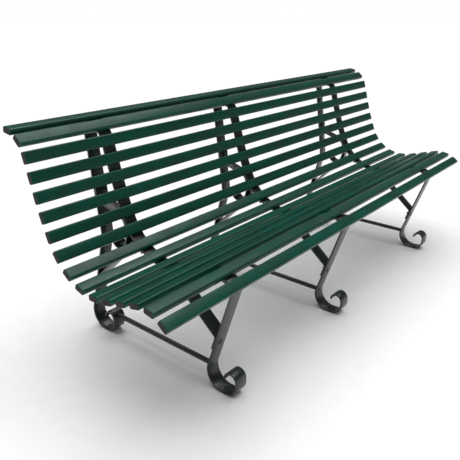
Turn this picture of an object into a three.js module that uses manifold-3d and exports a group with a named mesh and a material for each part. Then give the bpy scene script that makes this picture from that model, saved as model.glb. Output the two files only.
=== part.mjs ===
import * as THREE from 'three';
import { mergeVertices } from 'three/addons/utils/BufferGeometryUtils.js';
import Module from 'manifold-3d';

const wasm = await Module();
wasm.setup();

// Garden bench: sixteen wooden slats bolted to three bent flat-iron supports.
// Millimetres, +Z up, X along the bench, the sitter faces -Y.
// Each support is drawn in its own side plane as pairs [y, z]: y grows to the
// back, z is the height above the ground.

// ---- slats ----
const SLAT_LENGTH = 2120;
const SLAT_WIDTH = 38;
const SLAT_THICKNESS = 20;
const SLAT_EDGE_RADIUS = 4;
const SLAT_COUNT = 16;
const SLAT_PITCH = 60.2;

// ---- sitting line: the smooth line the slat faces lie on, front to back ----
const FRONT_SLAT_FACE_HEIGHT = 409;
const FRONT_SLAT_TILT = 36.3;
const FRONT_ROLL_RADIUS = 139;
const SEAT_FALL = 15.4;
const SEAT_STRAIGHT = 132;
const BEND_RADIUS = 185;
const BEND_END_SLOPE = 65.6;
const EASING_RADIUS = 1060;
const BACK_SLOPE = 73.1;
const TOP_ROLL_RADIUS = 105;
const TOP_ROLL_SPAN = 116.3;

// ---- irons ----
const IRON_WIDTH = 50;
const IRON_THICKNESS = 6;
const SUPPORT_INSET = 314;
const MIDDLE_SUPPORT_SHIFT = -84;
const BAR_FRONT_OVERHANG = 9;
const BAR_TOP_OVERHANG = 18;

// ---- front and rear legs ----
const STAY_KNEE_HEIGHT = 398;
const STAY_KNEE_REACH = 610.3;
const STAY_KNEE_RADIUS = 90;
const FOOT_SPACING = 584;
const FRONT_FOOT_SETBACK = 44;
const LEG_TOP_BEND_RADIUS = 12;
const STAY_TOP_BEND_RADIUS = 16;
const LEG_TAB_END = 7.5;
const LEG_TAB_FLAT = 0.5;
const STAY_TAB_OVERHANG = 8.5;
const STAY_TAB_FLAT = 0.65;
const TAB_REACH = 18;

// ---- foot scroll, outer radii from the heel round to the tip ----
const HEEL_RADIUS = 64;
const FOOT_FLAT = 11;
const TOE_RADIUS = 48;
const TOE_RISE = 12;
const CURL_RADIUS = 28;
const TIP_RADIUS = 24;
const TIP_TURN = 95;
const FIXING_HOLE_DIAMETER = 10;
const FIXING_HOLE_SETBACK = 3;

// ---- braces, scroll brace and stretcher ----
const FRONT_BRACE_FOOT_HEIGHT = 193;
const REAR_BRACE_FOOT_HEIGHT = 224;
const BRACE_TAB_TAIL = 21;
const FRONT_BRACE_FLAT = 4.3;
const REAR_BRACE_FLAT = 23.7;
const BRACE_FOOT_TAB = 42;
const BRACE_BOLT_DROP = 26;
const BRACE_BEND_RADIUS = 12;
const SCROLL_ARM_SLOPE = 16;
const SCROLL_SHOULDER_RADIUS = 30;
const SCROLL_SIDE_RADIUS = 90;
const SCROLL_SIDE_TURN = 55;
const SCROLL_BELLY_RADIUS = 42;
const SCROLL_CURL_RADIUS = 30;
const SCROLL_CURL_TURN = 150;
const SCROLL_TAB = 46;
const SCROLL_BOLT_DROP = 18;
const STRETCHER_DIAMETER = 18;
const STRETCHER_TENON_DIAMETER = 10;
const STRETCHER_HEIGHT = 72;
const RIVET_HEAD_DIAMETER = 16;
const RIVET_HEAD_HEIGHT = 2.5;

// ---- joint bolts ----
const BOLT_DIAMETER = 8;
const CUP_HEAD_DIAMETER = 18;
const CUP_HEAD_HEIGHT = 3;
const HEXAGON_CORNERS = 15;
const SCREW_HEAD_HEIGHT = 5.5;
const NUT_HEIGHT = 6.5;
const THREAD_END = 3;
const SCREW_BITE = 13;

// ---- fits ----
const JOINT_GAP = 0.3;
const HOLE_CLEARANCE = 0.3;
const CURVED_SEAT_GAP = 0.6;

const rad = (degrees) => (degrees * Math.PI) / 180;
const along = (degrees) => [Math.cos(rad(degrees)), Math.sin(rad(degrees))];
const move = (point, direction, distance) => [
  point[0] + direction[0] * distance,
  point[1] + direction[1] * distance,
];
const distanceBetween = (a, b) => Math.hypot(a[0] - b[0], a[1] - b[1]);
const headingBetween = (a, b) => (Math.atan2(b[1] - a[1], b[0] - a[0]) * 180) / Math.PI;

// A path is grown like a walk: straight runs and turns from a start point.
function walk(start, headingDegrees) {
  const state = { point: start, heading: headingDegrees, points: [start] };
  state.forward = (length) => {
    state.point = move(state.point, along(state.heading), length);
    state.points.push(state.point);
    return state;
  };
  // Positive angles turn to the left.
  state.turn = (radius, angle, stepDegrees = 9) => {
    const side = Math.sign(angle);
    const centre = move(state.point, along(state.heading + 90 * side), radius);
    const steps = Math.max(1, Math.ceil(Math.abs(angle) / stepDegrees));
    for (let i = 1; i <= steps; i += 1) {
      const heading = state.heading + (angle * i) / steps;
      state.points.push(move(centre, along(heading - 90 * side), radius));
    }
    state.heading += angle;
    state.point = state.points[state.points.length - 1];
    return state;
  };
  return state;
}

// Where the line through a (heading ha) crosses the line through b (heading hb).
function crossing(a, ha, b, hb) {
  const u = along(ha);
  const v = along(hb);
  const cross = u[0] * v[1] - u[1] * v[0];
  const t = ((b[0] - a[0]) * v[1] - (b[1] - a[1]) * v[0]) / cross;
  return move(a, u, t);
}

// ---- the sitting line ----
const arcLength = (radius, turned) => radius * rad(turned);
const lastSlatDistance = SLAT_PITCH * (SLAT_COUNT - 1);
const frontRoll = arcLength(FRONT_ROLL_RADIUS, FRONT_SLAT_TILT + SEAT_FALL);
const bend = arcLength(BEND_RADIUS, SEAT_FALL + BEND_END_SLOPE);
const easing = arcLength(EASING_RADIUS, BACK_SLOPE - BEND_END_SLOPE);
const backStraight =
  lastSlatDistance - TOP_ROLL_SPAN - frontRoll - SEAT_STRAIGHT - bend - easing;

// Length and curvature of each stretch (positive curves rise towards the back).
const sittingPieces = [
  [frontRoll, -1 / FRONT_ROLL_RADIUS],
  [SEAT_STRAIGHT, 0],
  [bend, 1 / BEND_RADIUS],
  [easing, 1 / EASING_RADIUS],
  [backStraight, 0],
  [Infinity, -1 / TOP_ROLL_RADIUS],
];

function pieceEnd(point, heading, length, curvature) {
  if (curvature === 0) {
    return { point: move(point, along(heading), length), heading };
  }
  const radius = 1 / curvature;
  const turned = (length * curvature * 180) / Math.PI;
  const centre = move(point, along(heading + 90), radius);
  return {
    point: move(centre, along(heading + turned - 90), radius),
    heading: heading + turned,
  };
}

// Point, heading and curvature of the slat faces, at a distance from the front slat.
function sittingLine(distance) {
  let point = [0, FRONT_SLAT_FACE_HEIGHT];
  let heading = FRONT_SLAT_TILT;
  let left = distance;
  for (const [length, curvature] of sittingPieces) {
    if (left <= length) {
      return { ...pieceEnd(point, heading, left, curvature), curvature };
    }
    ({ point, heading } = pieceEnd(point, heading, length, curvature));
    left -= length;
  }
  return null;
}

// A point a given depth below (behind) the slat faces.
function below(distance, depth) {
  const line = sittingLine(distance);
  return move(line.point, along(line.heading - 90), depth);
}

const BAR_FACE_DEPTH = SLAT_THICKNESS + JOINT_GAP;
const BAR_MIDDLE_DEPTH = BAR_FACE_DEPTH + IRON_THICKNESS / 2;
const BAR_REAR_DEPTH = BAR_FACE_DEPTH + IRON_THICKNESS;
const TAB_MIDDLE_DEPTH = BAR_REAR_DEPTH + JOINT_GAP + IRON_THICKNESS / 2;
const LAP = IRON_THICKNESS + JOINT_GAP;

// ---- solids ----
const sideToWorld = new THREE.Matrix4().makeBasis(
  new THREE.Vector3(0, 1, 0),
  new THREE.Vector3(0, 0, 1),
  new THREE.Vector3(1, 0, 0),
);

// A side outline given width along X, centred on x.
function slab(outline, x, width) {
  const shape = new THREE.Shape(outline.map(([y, z]) => new THREE.Vector2(y, z)));
  const geometry = new THREE.ExtrudeGeometry(shape, { depth: width, bevelEnabled: false });
  geometry.translate(0, 0, -width / 2);
  geometry.applyMatrix4(sideToWorld);
  geometry.translate(x, 0, 0);
  return geometry;
}

// The outline of a flat iron of a given thickness, from its middle line.
function ironOutline(points, thickness) {
  const near = [];
  const far = [];
  points.forEach((point, i) => {
    const before = points[Math.max(0, i - 1)];
    const after = points[Math.min(points.length - 1, i + 1)];
    const inDirection = Math.atan2(point[1] - before[1], point[0] - before[0]);
    const outDirection = Math.atan2(after[1] - point[1], after[0] - point[0]);
    const first = i === 0 ? outDirection : inDirection;
    const second = i === points.length - 1 ? inDirection : outDirection;
    let change = second - first;
    change = Math.atan2(Math.sin(change), Math.cos(change));
    const middle = ((first + change / 2) * 180) / Math.PI;
    const half = thickness / 2 / Math.cos(change / 2);
    near.push(move(point, along(middle + 90), half));
    far.push(move(point, along(middle - 90), half));
  });
  return [...near, ...far.reverse()];
}

function iron(points, x) {
  return slab(ironOutline(points, IRON_THICKNESS), x, IRON_WIDTH);
}

function toManifold(geometry) {
  const bare = geometry.clone();
  bare.deleteAttribute('normal');
  bare.deleteAttribute('uv');
  const merged = mergeVertices(bare, 1e-4);
  const mesh = new wasm.Mesh({
    numProp: 3,
    vertProperties: new Float32Array(merged.attributes.position.array),
    triVerts: new Uint32Array(merged.index.array),
  });
  return new wasm.Manifold(mesh);
}

function fromManifold(solid) {
  const mesh = solid.getMesh();
  const shared = new THREE.BufferGeometry();
  shared.setAttribute('position', new THREE.BufferAttribute(mesh.vertProperties, 3));
  shared.setIndex(new THREE.BufferAttribute(mesh.triVerts, 1));
  const flat = shared.toNonIndexed();
  flat.computeVertexNormals();
  return flat;
}

// A round or hexagonal pin standing on a side-plane point, pointing along a heading.
function pin(x, base, headingDegrees, from, to, diameter, sides) {
  const geometry = new THREE.CylinderGeometry(diameter / 2, diameter / 2, to - from, sides);
  geometry.translate(0, (from + to) / 2, 0);
  geometry.applyMatrix4(
    new THREE.Matrix4().makeBasis(
      new THREE.Vector3(1, 0, 0),
      new THREE.Vector3(0, ...along(headingDegrees)),
      new THREE.Vector3(0, ...along(headingDegrees + 90)),
    ),
  );
  geometry.translate(x, base[0], base[1]);
  return toManifold(geometry);
}

const HOLE_DIAMETER = BOLT_DIAMETER + 2 * HOLE_CLEARANCE;

function drill(geometry, x, joints) {
  let solid = toManifold(geometry);
  for (const joint of joints) {
    solid = solid.subtract(pin(x, joint.point, joint.heading, -60, 60, HOLE_DIAMETER, 14));
  }
  return solid;
}

// ---- joints along the bar: each falls on the slat of this number from the front ----
// The scroll brace touches the bar between two slats.
const jointSlat = {
  frontRoll: 1,
  frontBrace: 5,
  rearBrace: 7,
  scroll: 8.5,
  crest: SLAT_COUNT - 2,
};
const jointDistances = Object.fromEntries(
  Object.entries(jointSlat).map(([name, number]) => [name, number * SLAT_PITCH]),
);

// The point on the bar's outer face, and the heading out of it.
function barJoint(distance) {
  const line = sittingLine(distance);
  return { point: below(distance, BAR_FACE_DEPTH), heading: line.heading + 90 };
}

const joints = {
  frontRoll: barJoint(jointDistances.frontRoll),
  frontBraceTop: barJoint(jointDistances.frontBrace),
  rearBraceTop: barJoint(jointDistances.rearBrace),
  scrollFront: barJoint(jointDistances.scroll),
  crest: barJoint(jointDistances.crest),
};

// ---- seat and back bar ----
// How far a flat facet may stray from the true curve.
const FACET_SAG = 0.15;

// Distances along the bar: the ends of each stretch, and facets round the curves.
function barStations(from, to) {
  const stations = [from];
  let begin = -Infinity;
  let end = 0;
  for (const [length, curvature] of sittingPieces) {
    end += length;
    const first = Math.max(begin, from);
    const last = Math.min(end, to);
    const step = curvature === 0 ? Infinity : Math.sqrt((8 * FACET_SAG) / Math.abs(curvature));
    const count = Math.max(1, Math.ceil((last - first) / step));
    for (let i = 1; i <= count && last > first; i += 1) {
      stations.push(first + ((last - first) * i) / count);
    }
    begin = end;
  }
  return stations;
}

function barPath() {
  const stations = barStations(-BAR_FRONT_OVERHANG, lastSlatDistance + BAR_TOP_OVERHANG);
  return stations.map((distance) => below(distance, BAR_MIDDLE_DEPTH));
}

// A tab lying along the bar's rear face, from one distance to another.
function tabAlongBar(from, to) {
  const points = barStations(Math.min(from, to), Math.max(from, to)).map((distance) =>
    below(distance, TAB_MIDDLE_DEPTH),
  );
  return from < to ? points : points.reverse();
}

// ---- foot scroll, walked from the leg's lower end to the curled tip ----
const HALF_IRON = IRON_THICKNESS / 2;
const heelMiddleRadius = HEEL_RADIUS - HALF_IRON;
const frontSoleBack = FRONT_FOOT_SETBACK + FOOT_FLAT;
const rearSoleBack = frontSoleBack + FOOT_SPACING;

// The heading of a straight that leaves a bend (radius positive for a left bend,
// zero for a corner) for a point, or for the outside of a bend to the right about it.
function straightHeading(centre, radius, target, targetRadius = 0) {
  const swing = Math.asin((radius + targetRadius) / distanceBetween(centre, target));
  return headingBetween(centre, target) + (swing * 180) / Math.PI;
}

// A leg's straight comes down from a bend and ends where the heel's curve begins.
function legLine(centre, radius, soleBack) {
  const heel = [soleBack, HEEL_RADIUS];
  const heading = straightHeading(centre, radius, heel, heelMiddleRadius);
  return { foot: move(heel, along(heading + 90), heelMiddleRadius), heading };
}

// The centre of a bend that starts a short flat past a tab's end.
function bendCentre(tabEnd, heading, flat, radius) {
  return move(move(tabEnd, along(heading), flat), along(heading + 90), radius);
}

// The turn from one heading to another, to the left or to the right.
function turnBetween(from, to, side) {
  const turn = ((to - from) * side) % 360;
  return (turn < 0 ? turn + 360 : turn) * side;
}

function footScroll({ foot, heading }) {
  return walk(foot, heading)
    .turn(heelMiddleRadius, -180 - heading, 10)
    .forward(FOOT_FLAT)
    .turn(TOE_RADIUS - HALF_IRON, -90, 10)
    .forward(TOE_RISE)
    .turn(CURL_RADIUS - HALF_IRON, -90, 13)
    .turn(TIP_RADIUS - HALF_IRON, -TIP_TURN, 14).points;
}

// From a point straight on, round one bend, and onto the line through target.
function bendOnto(start, heading, radius, target, targetHeading) {
  const corner = crossing(start, heading, target, targetHeading);
  const angle = targetHeading - heading;
  const cut = radius * Math.tan(rad(Math.abs(angle) / 2));
  return walk(start, heading)
    .forward(distanceBetween(start, corner) - cut)
    .turn(radius, angle, 12);
}

// A joint through two irons lapped on a leg: how high, and which way is out.
function legJoint(line, height, out) {
  const onMiddle = crossing(line.foot, line.heading, [0, height], 0);
  const heading = line.heading + out;
  return { point: move(onMiddle, along(heading), HALF_IRON), heading };
}

// ---- front leg: tab under the front roll, straight leg, foot scroll ----
const legTabEnd = below(LEG_TAB_END, TAB_MIDDLE_DEPTH);
const legTabHeading = sittingLine(LEG_TAB_END).heading - 180;
const legTopCentre = bendCentre(legTabEnd, legTabHeading, LEG_TAB_FLAT, LEG_TOP_BEND_RADIUS);
const leg = legLine(legTopCentre, LEG_TOP_BEND_RADIUS, frontSoleBack);

function legPath() {
  const tab = tabAlongBar(jointDistances.frontRoll + TAB_REACH, LEG_TAB_END);
  const top = walk(legTabEnd, legTabHeading)
    .forward(LEG_TAB_FLAT)
    .turn(LEG_TOP_BEND_RADIUS, turnBetween(legTabHeading, leg.heading, 1), 12);
  return [...tab, ...top.points.slice(1), ...footScroll(leg)];
}

// ---- rear leg: tab under the top roll, back stay, knee, lower leg, foot scroll ----
const stayTabEndAt = lastSlatDistance + STAY_TAB_OVERHANG;
const stayTabEnd = below(stayTabEndAt, TAB_MIDDLE_DEPTH);
const stayTabHeading = sittingLine(stayTabEndAt).heading;
const stayTopCentre = bendCentre(
  stayTabEnd,
  stayTabHeading,
  STAY_TAB_FLAT,
  -STAY_TOP_BEND_RADIUS,
);
const stayKnee = [STAY_KNEE_REACH, STAY_KNEE_HEIGHT];
const stay = {
  foot: stayKnee,
  heading: straightHeading(stayTopCentre, -STAY_TOP_BEND_RADIUS, stayKnee),
};
const rearLeg = legLine(stayKnee, 0, rearSoleBack);

function stayPath() {
  const tab = tabAlongBar(jointDistances.crest - TAB_REACH, stayTabEndAt);
  const top = walk(stayTabEnd, stayTabHeading)
    .forward(STAY_TAB_FLAT)
    .turn(STAY_TOP_BEND_RADIUS, turnBetween(stayTabHeading, stay.heading, -1), 12);
  const knee = bendOnto(top.point, stay.heading, STAY_KNEE_RADIUS, rearLeg.foot, rearLeg.heading);
  return [...tab, ...top.points.slice(1), ...knee.points.slice(1), ...footScroll(rearLeg)];
}

// ---- braces: a tab screwed up under the bar, a straight run, a tab on the leg ----
// The flat is how far past its screw a tab stays straight; the run leaves the top
// bend (side 1 bends left, -1 right) straight for the corner on the leg.
function bracePath(distance, tabHeading, flat, side, line, legCornerPoint) {
  const screw = below(distance, TAB_MIDDLE_DEPTH);
  const centre = bendCentre(screw, tabHeading, flat, side * BRACE_BEND_RADIUS);
  const runHeading = straightHeading(centre, side * BRACE_BEND_RADIUS, legCornerPoint);
  const legTurn = line.heading - runHeading;
  const cut = BRACE_BEND_RADIUS * Math.tan(rad(Math.abs(legTurn) / 2));
  const top = walk(move(screw, along(tabHeading), -BRACE_TAB_TAIL), tabHeading)
    .forward(BRACE_TAB_TAIL + flat)
    .turn(BRACE_BEND_RADIUS, turnBetween(tabHeading, runHeading, side), 12);
  return top
    .forward(distanceBetween(top.point, legCornerPoint) - cut)
    .turn(BRACE_BEND_RADIUS, legTurn, 12)
    .forward(BRACE_FOOT_TAB).points;
}

// Where a brace's straight run would meet the face of a leg at a height.
function braceFootCorner(line, height, out) {
  return move(crossing(line.foot, line.heading, [0, height], 0), along(line.heading + out), LAP);
}

function frontBracePath() {
  const distance = jointDistances.frontBrace;
  const tabHeading = sittingLine(distance).heading - 180;
  const corner = braceFootCorner(leg, FRONT_BRACE_FOOT_HEIGHT, 90);
  return bracePath(distance, tabHeading, FRONT_BRACE_FLAT, 1, leg, corner);
}

function rearBracePath() {
  const distance = jointDistances.rearBrace;
  const tabHeading = sittingLine(distance).heading;
  const corner = braceFootCorner(rearLeg, REAR_BRACE_FOOT_HEIGHT, -90);
  return bracePath(distance, tabHeading, REAR_BRACE_FLAT, -1, rearLeg, corner);
}

const dropAlong = (line) => BRACE_BOLT_DROP * -Math.sin(rad(line.heading));
joints.frontBraceFoot = legJoint(leg, FRONT_BRACE_FOOT_HEIGHT - dropAlong(leg), -90);
joints.rearBraceFoot = legJoint(rearLeg, REAR_BRACE_FOOT_HEIGHT - dropAlong(rearLeg), 90);

// ---- scroll brace: tab on the back stay, arm, and a curl that touches the bar ----
const touchHeading = sittingLine(jointDistances.scroll).heading - 180;
const touchPoint = below(jointDistances.scroll, TAB_MIDDLE_DEPTH);
const armHeading = SCROLL_ARM_SLOPE - 180;

function scrollPath() {
  const shoulder = walk(touchPoint, touchHeading + 180).turn(
    SCROLL_SHOULDER_RADIUS,
    armHeading - touchHeading,
    9,
  );
  const stayFace = move(stay.foot, along(stay.heading - 90), LAP);
  const corner = crossing(shoulder.point, armHeading, stayFace, stay.heading);
  const tabStart = move(corner, along(stay.heading), -SCROLL_TAB);
  const top = bendOnto(tabStart, stay.heading, BRACE_BEND_RADIUS, shoulder.point, armHeading);
  const curl = walk(touchPoint, touchHeading)
    .turn(SCROLL_SIDE_RADIUS, SCROLL_SIDE_TURN, 9)
    .turn(SCROLL_BELLY_RADIUS, -touchHeading - SCROLL_SIDE_TURN, 11)
    .turn(SCROLL_CURL_RADIUS, SCROLL_CURL_TURN, 13);
  return {
    points: [...top.points, ...[...shoulder.points].reverse(), ...curl.points.slice(1)],
    boltHeight: tabStart[1] + SCROLL_BOLT_DROP * Math.sin(rad(stay.heading)),
  };
}

const scroll = scrollPath();
joints.scrollStay = legJoint(stay, scroll.boltHeight, -90);
joints.scrollStay.point = move(joints.scrollStay.point, along(joints.scrollStay.heading), LAP);

// ---- cup-headed bolt with its nut, through two lapped irons ----
const GRIP = 2 * IRON_THICKNESS + JOINT_GAP;

function jointBolt(x, joint, seat) {
  const { point, heading } = joint;
  const nutFace = -GRIP - seat;
  const head = pin(x, point, heading, seat, seat + CUP_HEAD_HEIGHT, CUP_HEAD_DIAMETER, 18);
  const nut = pin(x, point, heading, nutFace - NUT_HEIGHT, nutFace, HEXAGON_CORNERS, 6);
  const shankEnd = nutFace - NUT_HEIGHT - THREAD_END;
  const shank = pin(x, point, heading, shankEnd, seat + 1, BOLT_DIAMETER, 12);
  return fromManifold(shank.add(head).add(nut));
}

// ---- coach screw: head behind the tab, through tab and bar, blind into a slat ----
function coachScrew(x, joint, seat) {
  const { point, heading } = joint;
  const headFace = -GRIP - seat;
  const head = pin(x, point, heading, headFace - SCREW_HEAD_HEIGHT, headFace, HEXAGON_CORNERS, 6);
  const shank = pin(x, point, heading, headFace - 1, SCREW_BITE, BOLT_DIAMETER, 12);
  return fromManifold(shank.add(head));
}

function screwHole(x, joint) {
  const end = SCREW_BITE + HOLE_CLEARANCE;
  return pin(x, joint.point, joint.heading, -5, end, HOLE_DIAMETER, 14);
}

// ---- stretcher between the two feet, riveted through the irons ----
const largest = (solid) => solid.decompose().reduce((a, b) => (a.volume() > b.volume() ? a : b));

function gappedIron(points, x) {
  const outline = ironOutline(points, IRON_THICKNESS + 2 * JOINT_GAP);
  return toManifold(slab(outline, x, IRON_WIDTH + 4));
}

const chordReach = (radius, offset) => Math.sqrt(radius * radius - offset * offset);
const curlCentre = FRONT_FOOT_SETBACK - TOE_RADIUS + CURL_RADIUS;
const heelBack = frontSoleBack + chordReach(HEEL_RADIUS, STRETCHER_HEIGHT - HEEL_RADIUS);
const curlFront =
  FOOT_SPACING +
  curlCentre -
  chordReach(CURL_RADIUS, STRETCHER_HEIGHT - TOE_RADIUS - TOE_RISE);

function tenons(x, diameter, reach) {
  const axis = [0, STRETCHER_HEIGHT];
  return pin(x, axis, 0, heelBack - reach, curlFront + reach, diameter, 16);
}

function stretcher(x) {
  const reach = IRON_THICKNESS + RIVET_HEAD_HEIGHT;
  const rod = tenons(x, STRETCHER_DIAMETER, 3);
  const heads = tenons(x, RIVET_HEAD_DIAMETER, reach).subtract(
    tenons(x, STRETCHER_DIAMETER, -1),
  );
  const irons = gappedIron(legPath(), x).add(gappedIron(stayPath(), x));
  const solid = rod.add(heads).subtract(irons).add(tenons(x, STRETCHER_TENON_DIAMETER, reach));
  return largest(solid);
}

// In the hollow of the bend a flat slat bears on its two edges: how far that lifts it.
function hollowLift(distance) {
  const line = sittingLine(distance);
  const up = along(line.heading + 90);
  const middle = below(distance, BAR_FACE_DEPTH);
  const rises = [-SLAT_WIDTH / 2, SLAT_WIDTH / 2].map((offset) => {
    const edge = below(distance + offset, BAR_FACE_DEPTH);
    return (edge[0] - middle[0]) * up[0] + (edge[1] - middle[1]) * up[1];
  });
  return Math.max(0, ...rises);
}

// ---- a slat: rounded bar lying on the sitting line ----
function slat(index) {
  const distance = SLAT_PITCH * index;
  const line = sittingLine(distance);
  const face = below(distance, -hollowLift(distance));
  const w = SLAT_WIDTH / 2;
  const r = SLAT_EDGE_RADIUS;
  const shape = new THREE.Shape();
  shape.moveTo(-w + r, 0);
  shape.absarc(-w + r, -r, r, Math.PI / 2, Math.PI, false);
  shape.absarc(-w + r, -SLAT_THICKNESS + r, r, Math.PI, Math.PI * 1.5, false);
  shape.absarc(w - r, -SLAT_THICKNESS + r, r, Math.PI * 1.5, Math.PI * 2, false);
  shape.absarc(w - r, -r, r, 0, Math.PI / 2, false);
  const geometry = new THREE.ExtrudeGeometry(shape, {
    depth: SLAT_LENGTH,
    bevelEnabled: false,
    curveSegments: 3,
  });
  geometry.translate(0, 0, -SLAT_LENGTH / 2);
  geometry.rotateZ(rad(line.heading));
  geometry.translate(face[0], face[1], 0);
  geometry.applyMatrix4(sideToWorld);
  return geometry;
}

// ---- materials ----
function lacqueredWood() {
  return new THREE.MeshStandardMaterial({ color: 0x10463a, roughness: 0.4, metalness: 0 });
}

function paintedIron() {
  return new THREE.MeshStandardMaterial({ color: 0x1b2a25, roughness: 0.42, metalness: 0.1 });
}

function paintedBolt() {
  return new THREE.MeshStandardMaterial({ color: 0x22302b, roughness: 0.45, metalness: 0.2 });
}

// ---- assembly ----
const bench = new THREE.Group();
bench.name = 'garden_bench';

function place(name, geometry, material) {
  const mesh = new THREE.Mesh(geometry, material);
  mesh.name = name;
  bench.add(mesh);
}

function slatName(index) {
  if (index === 0) return 'front_slat';
  if (index <= 5) return `seat_slat_${index}`;
  if (index <= 7) return `bend_slat_${index - 5}`;
  if (index < SLAT_COUNT - 1) return `back_slat_${index - 7}`;
  return 'crest_slat';
}

const outerX = SLAT_LENGTH / 2 - SUPPORT_INSET;
const supports = { left: -outerX, middle: MIDDLE_SUPPORT_SHIFT, right: outerX };

// Slats that a coach screw bites into, by their number from the front.
const screwedSlats = {
  [jointSlat.frontRoll]: joints.frontRoll,
  [jointSlat.frontBrace]: joints.frontBraceTop,
  [jointSlat.rearBrace]: joints.rearBraceTop,
  [jointSlat.crest]: joints.crest,
};

for (let i = 0; i < SLAT_COUNT; i += 1) {
  let geometry = slat(i);
  if (screwedSlats[i]) {
    let solid = toManifold(geometry);
    for (const x of Object.values(supports)) {
      solid = solid.subtract(screwHole(x, screwedSlats[i]));
    }
    geometry = fromManifold(solid);
  }
  place(slatName(i), geometry, lacqueredWood());
}

function fixingHole(x, soleBack) {
  return pin(x, [soleBack + FIXING_HOLE_SETBACK, 0], 90, -5, 20, FIXING_HOLE_DIAMETER, 18);
}

function drilledIron(points, x, holes) {
  return drill(iron(points, x), x, holes);
}

function support(side, x) {
  const tenonHole = tenons(x, STRETCHER_TENON_DIAMETER + 2 * HOLE_CLEARANCE, 40);
  const j = joints;
  const barHoles = [j.frontRoll, j.frontBraceTop, j.rearBraceTop, j.scrollFront, j.crest];
  const legHoles = [j.frontRoll, j.frontBraceFoot];
  const stayHoles = [j.crest, j.rearBraceFoot, j.scrollStay];
  const irons = {
    seat_back_bar: drilledIron(barPath(), x, barHoles),
    front_leg: drilledIron(legPath(), x, legHoles)
      .subtract(tenonHole)
      .subtract(fixingHole(x, frontSoleBack)),
    rear_leg: drilledIron(stayPath(), x, stayHoles)
      .subtract(tenonHole)
      .subtract(fixingHole(x, rearSoleBack)),
    front_brace: drilledIron(frontBracePath(), x, [j.frontBraceTop, j.frontBraceFoot]),
    rear_brace: drilledIron(rearBracePath(), x, [j.rearBraceTop, j.rearBraceFoot]),
    scroll_brace: drilledIron(scroll.points, x, [j.scrollFront, j.scrollStay]),
    stretcher: stretcher(x),
  };
  for (const [name, body] of Object.entries(irons)) {
    place(`${side}_${name}`, fromManifold(body), paintedIron());
  }
  const fasteners = {
    front_screw: coachScrew(x, j.frontRoll, CURVED_SEAT_GAP),
    front_brace_top_screw: coachScrew(x, j.frontBraceTop, CURVED_SEAT_GAP),
    front_brace_foot_bolt: jointBolt(x, j.frontBraceFoot, JOINT_GAP),
    rear_brace_top_screw: coachScrew(x, j.rearBraceTop, CURVED_SEAT_GAP),
    rear_brace_foot_bolt: jointBolt(x, j.rearBraceFoot, JOINT_GAP),
    scroll_stay_bolt: jointBolt(x, j.scrollStay, JOINT_GAP),
    crest_screw: coachScrew(x, j.crest, CURVED_SEAT_GAP),
  };
  for (const [name, geometry] of Object.entries(fasteners)) {
    place(`${side}_${name}`, geometry, paintedBolt());
  }
}

for (const [side, x] of Object.entries(supports)) {
  support(side, x);
}

// The origin sits under the middle of the whole bench, at ground level.
const bounds = new THREE.Box3().setFromObject(bench);
const centre = bounds.getCenter(new THREE.Vector3());
for (const mesh of bench.children) {
  mesh.geometry.translate(-centre.x, -centre.y, -bounds.min.z);
}

export default bench;
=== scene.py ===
"""Garden bench: sixteen lacquered wooden slats on three supports of painted flat iron."""

import math

import bmesh
import bpy
from mathutils import Matrix, Vector


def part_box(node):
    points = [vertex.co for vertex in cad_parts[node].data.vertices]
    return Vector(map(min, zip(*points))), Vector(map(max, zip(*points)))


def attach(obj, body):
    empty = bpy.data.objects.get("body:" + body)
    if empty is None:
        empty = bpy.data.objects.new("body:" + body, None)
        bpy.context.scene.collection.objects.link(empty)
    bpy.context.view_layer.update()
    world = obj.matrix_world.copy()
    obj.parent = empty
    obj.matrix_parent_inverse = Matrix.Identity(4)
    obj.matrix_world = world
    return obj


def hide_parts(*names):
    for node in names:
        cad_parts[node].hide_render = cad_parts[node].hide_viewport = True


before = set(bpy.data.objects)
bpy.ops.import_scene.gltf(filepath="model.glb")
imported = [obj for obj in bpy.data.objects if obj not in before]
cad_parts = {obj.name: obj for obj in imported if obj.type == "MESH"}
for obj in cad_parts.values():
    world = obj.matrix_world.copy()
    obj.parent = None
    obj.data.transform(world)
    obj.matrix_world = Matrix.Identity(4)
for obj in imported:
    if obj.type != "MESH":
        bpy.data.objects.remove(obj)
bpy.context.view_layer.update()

# Millimetres and degrees. A support is drawn in its side plane as pairs (y, z):
# y grows to the back from the front slat, z is the height above the ground.
MM = 0.001

# ---- slats ----
SLAT_WIDTH = 38
SLAT_THICKNESS = 20
SLAT_ARRIS = 5.5
SLAT_END_EASE = 1.2
ARRIS_STEPS = 6
SLAT_COUNT = 16
SLAT_PITCH = 60.2

# ---- sitting line: the smooth line that the slat faces lie on ----
FRONT_SLAT_FACE_HEIGHT = 409
FRONT_SLAT_TILT = 36.3
FRONT_ROLL_RADIUS = 139
SEAT_FALL = 15.4
SEAT_STRAIGHT = 132
BEND_RADIUS = 185
BEND_END_SLOPE = 65.6
EASING_RADIUS = 1060
BACK_SLOPE = 73.1
TOP_ROLL_RADIUS = 105
TOP_ROLL_SPAN = 116.3

# ---- irons ----
IRON_WIDTH = 50
IRON_THICKNESS = 6
IRON_EDGE = 0.9
BAR_FRONT_OVERHANG = 9
BAR_TOP_OVERHANG = 18
JOINT_GAP = 0.3
CURVED_SEAT_GAP = 0.6

# ---- legs ----
FOOT_SPACING = 584
FRONT_FOOT_SETBACK = 44
KNEE_SETBACK = -28.7
KNEE_HEIGHT = 398
KNEE_RADIUS = 90
LEG_TAB_END = 7.5
LEG_TOP_REACH = 9.7
LEG_TOP_BEND_RADIUS = 12
STAY_TAB_OVERHANG = 8.5
STAY_TOP_REACH = 20.7
STAY_TOP_BEND_RADIUS = 16
TAB_REACH = 18

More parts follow.
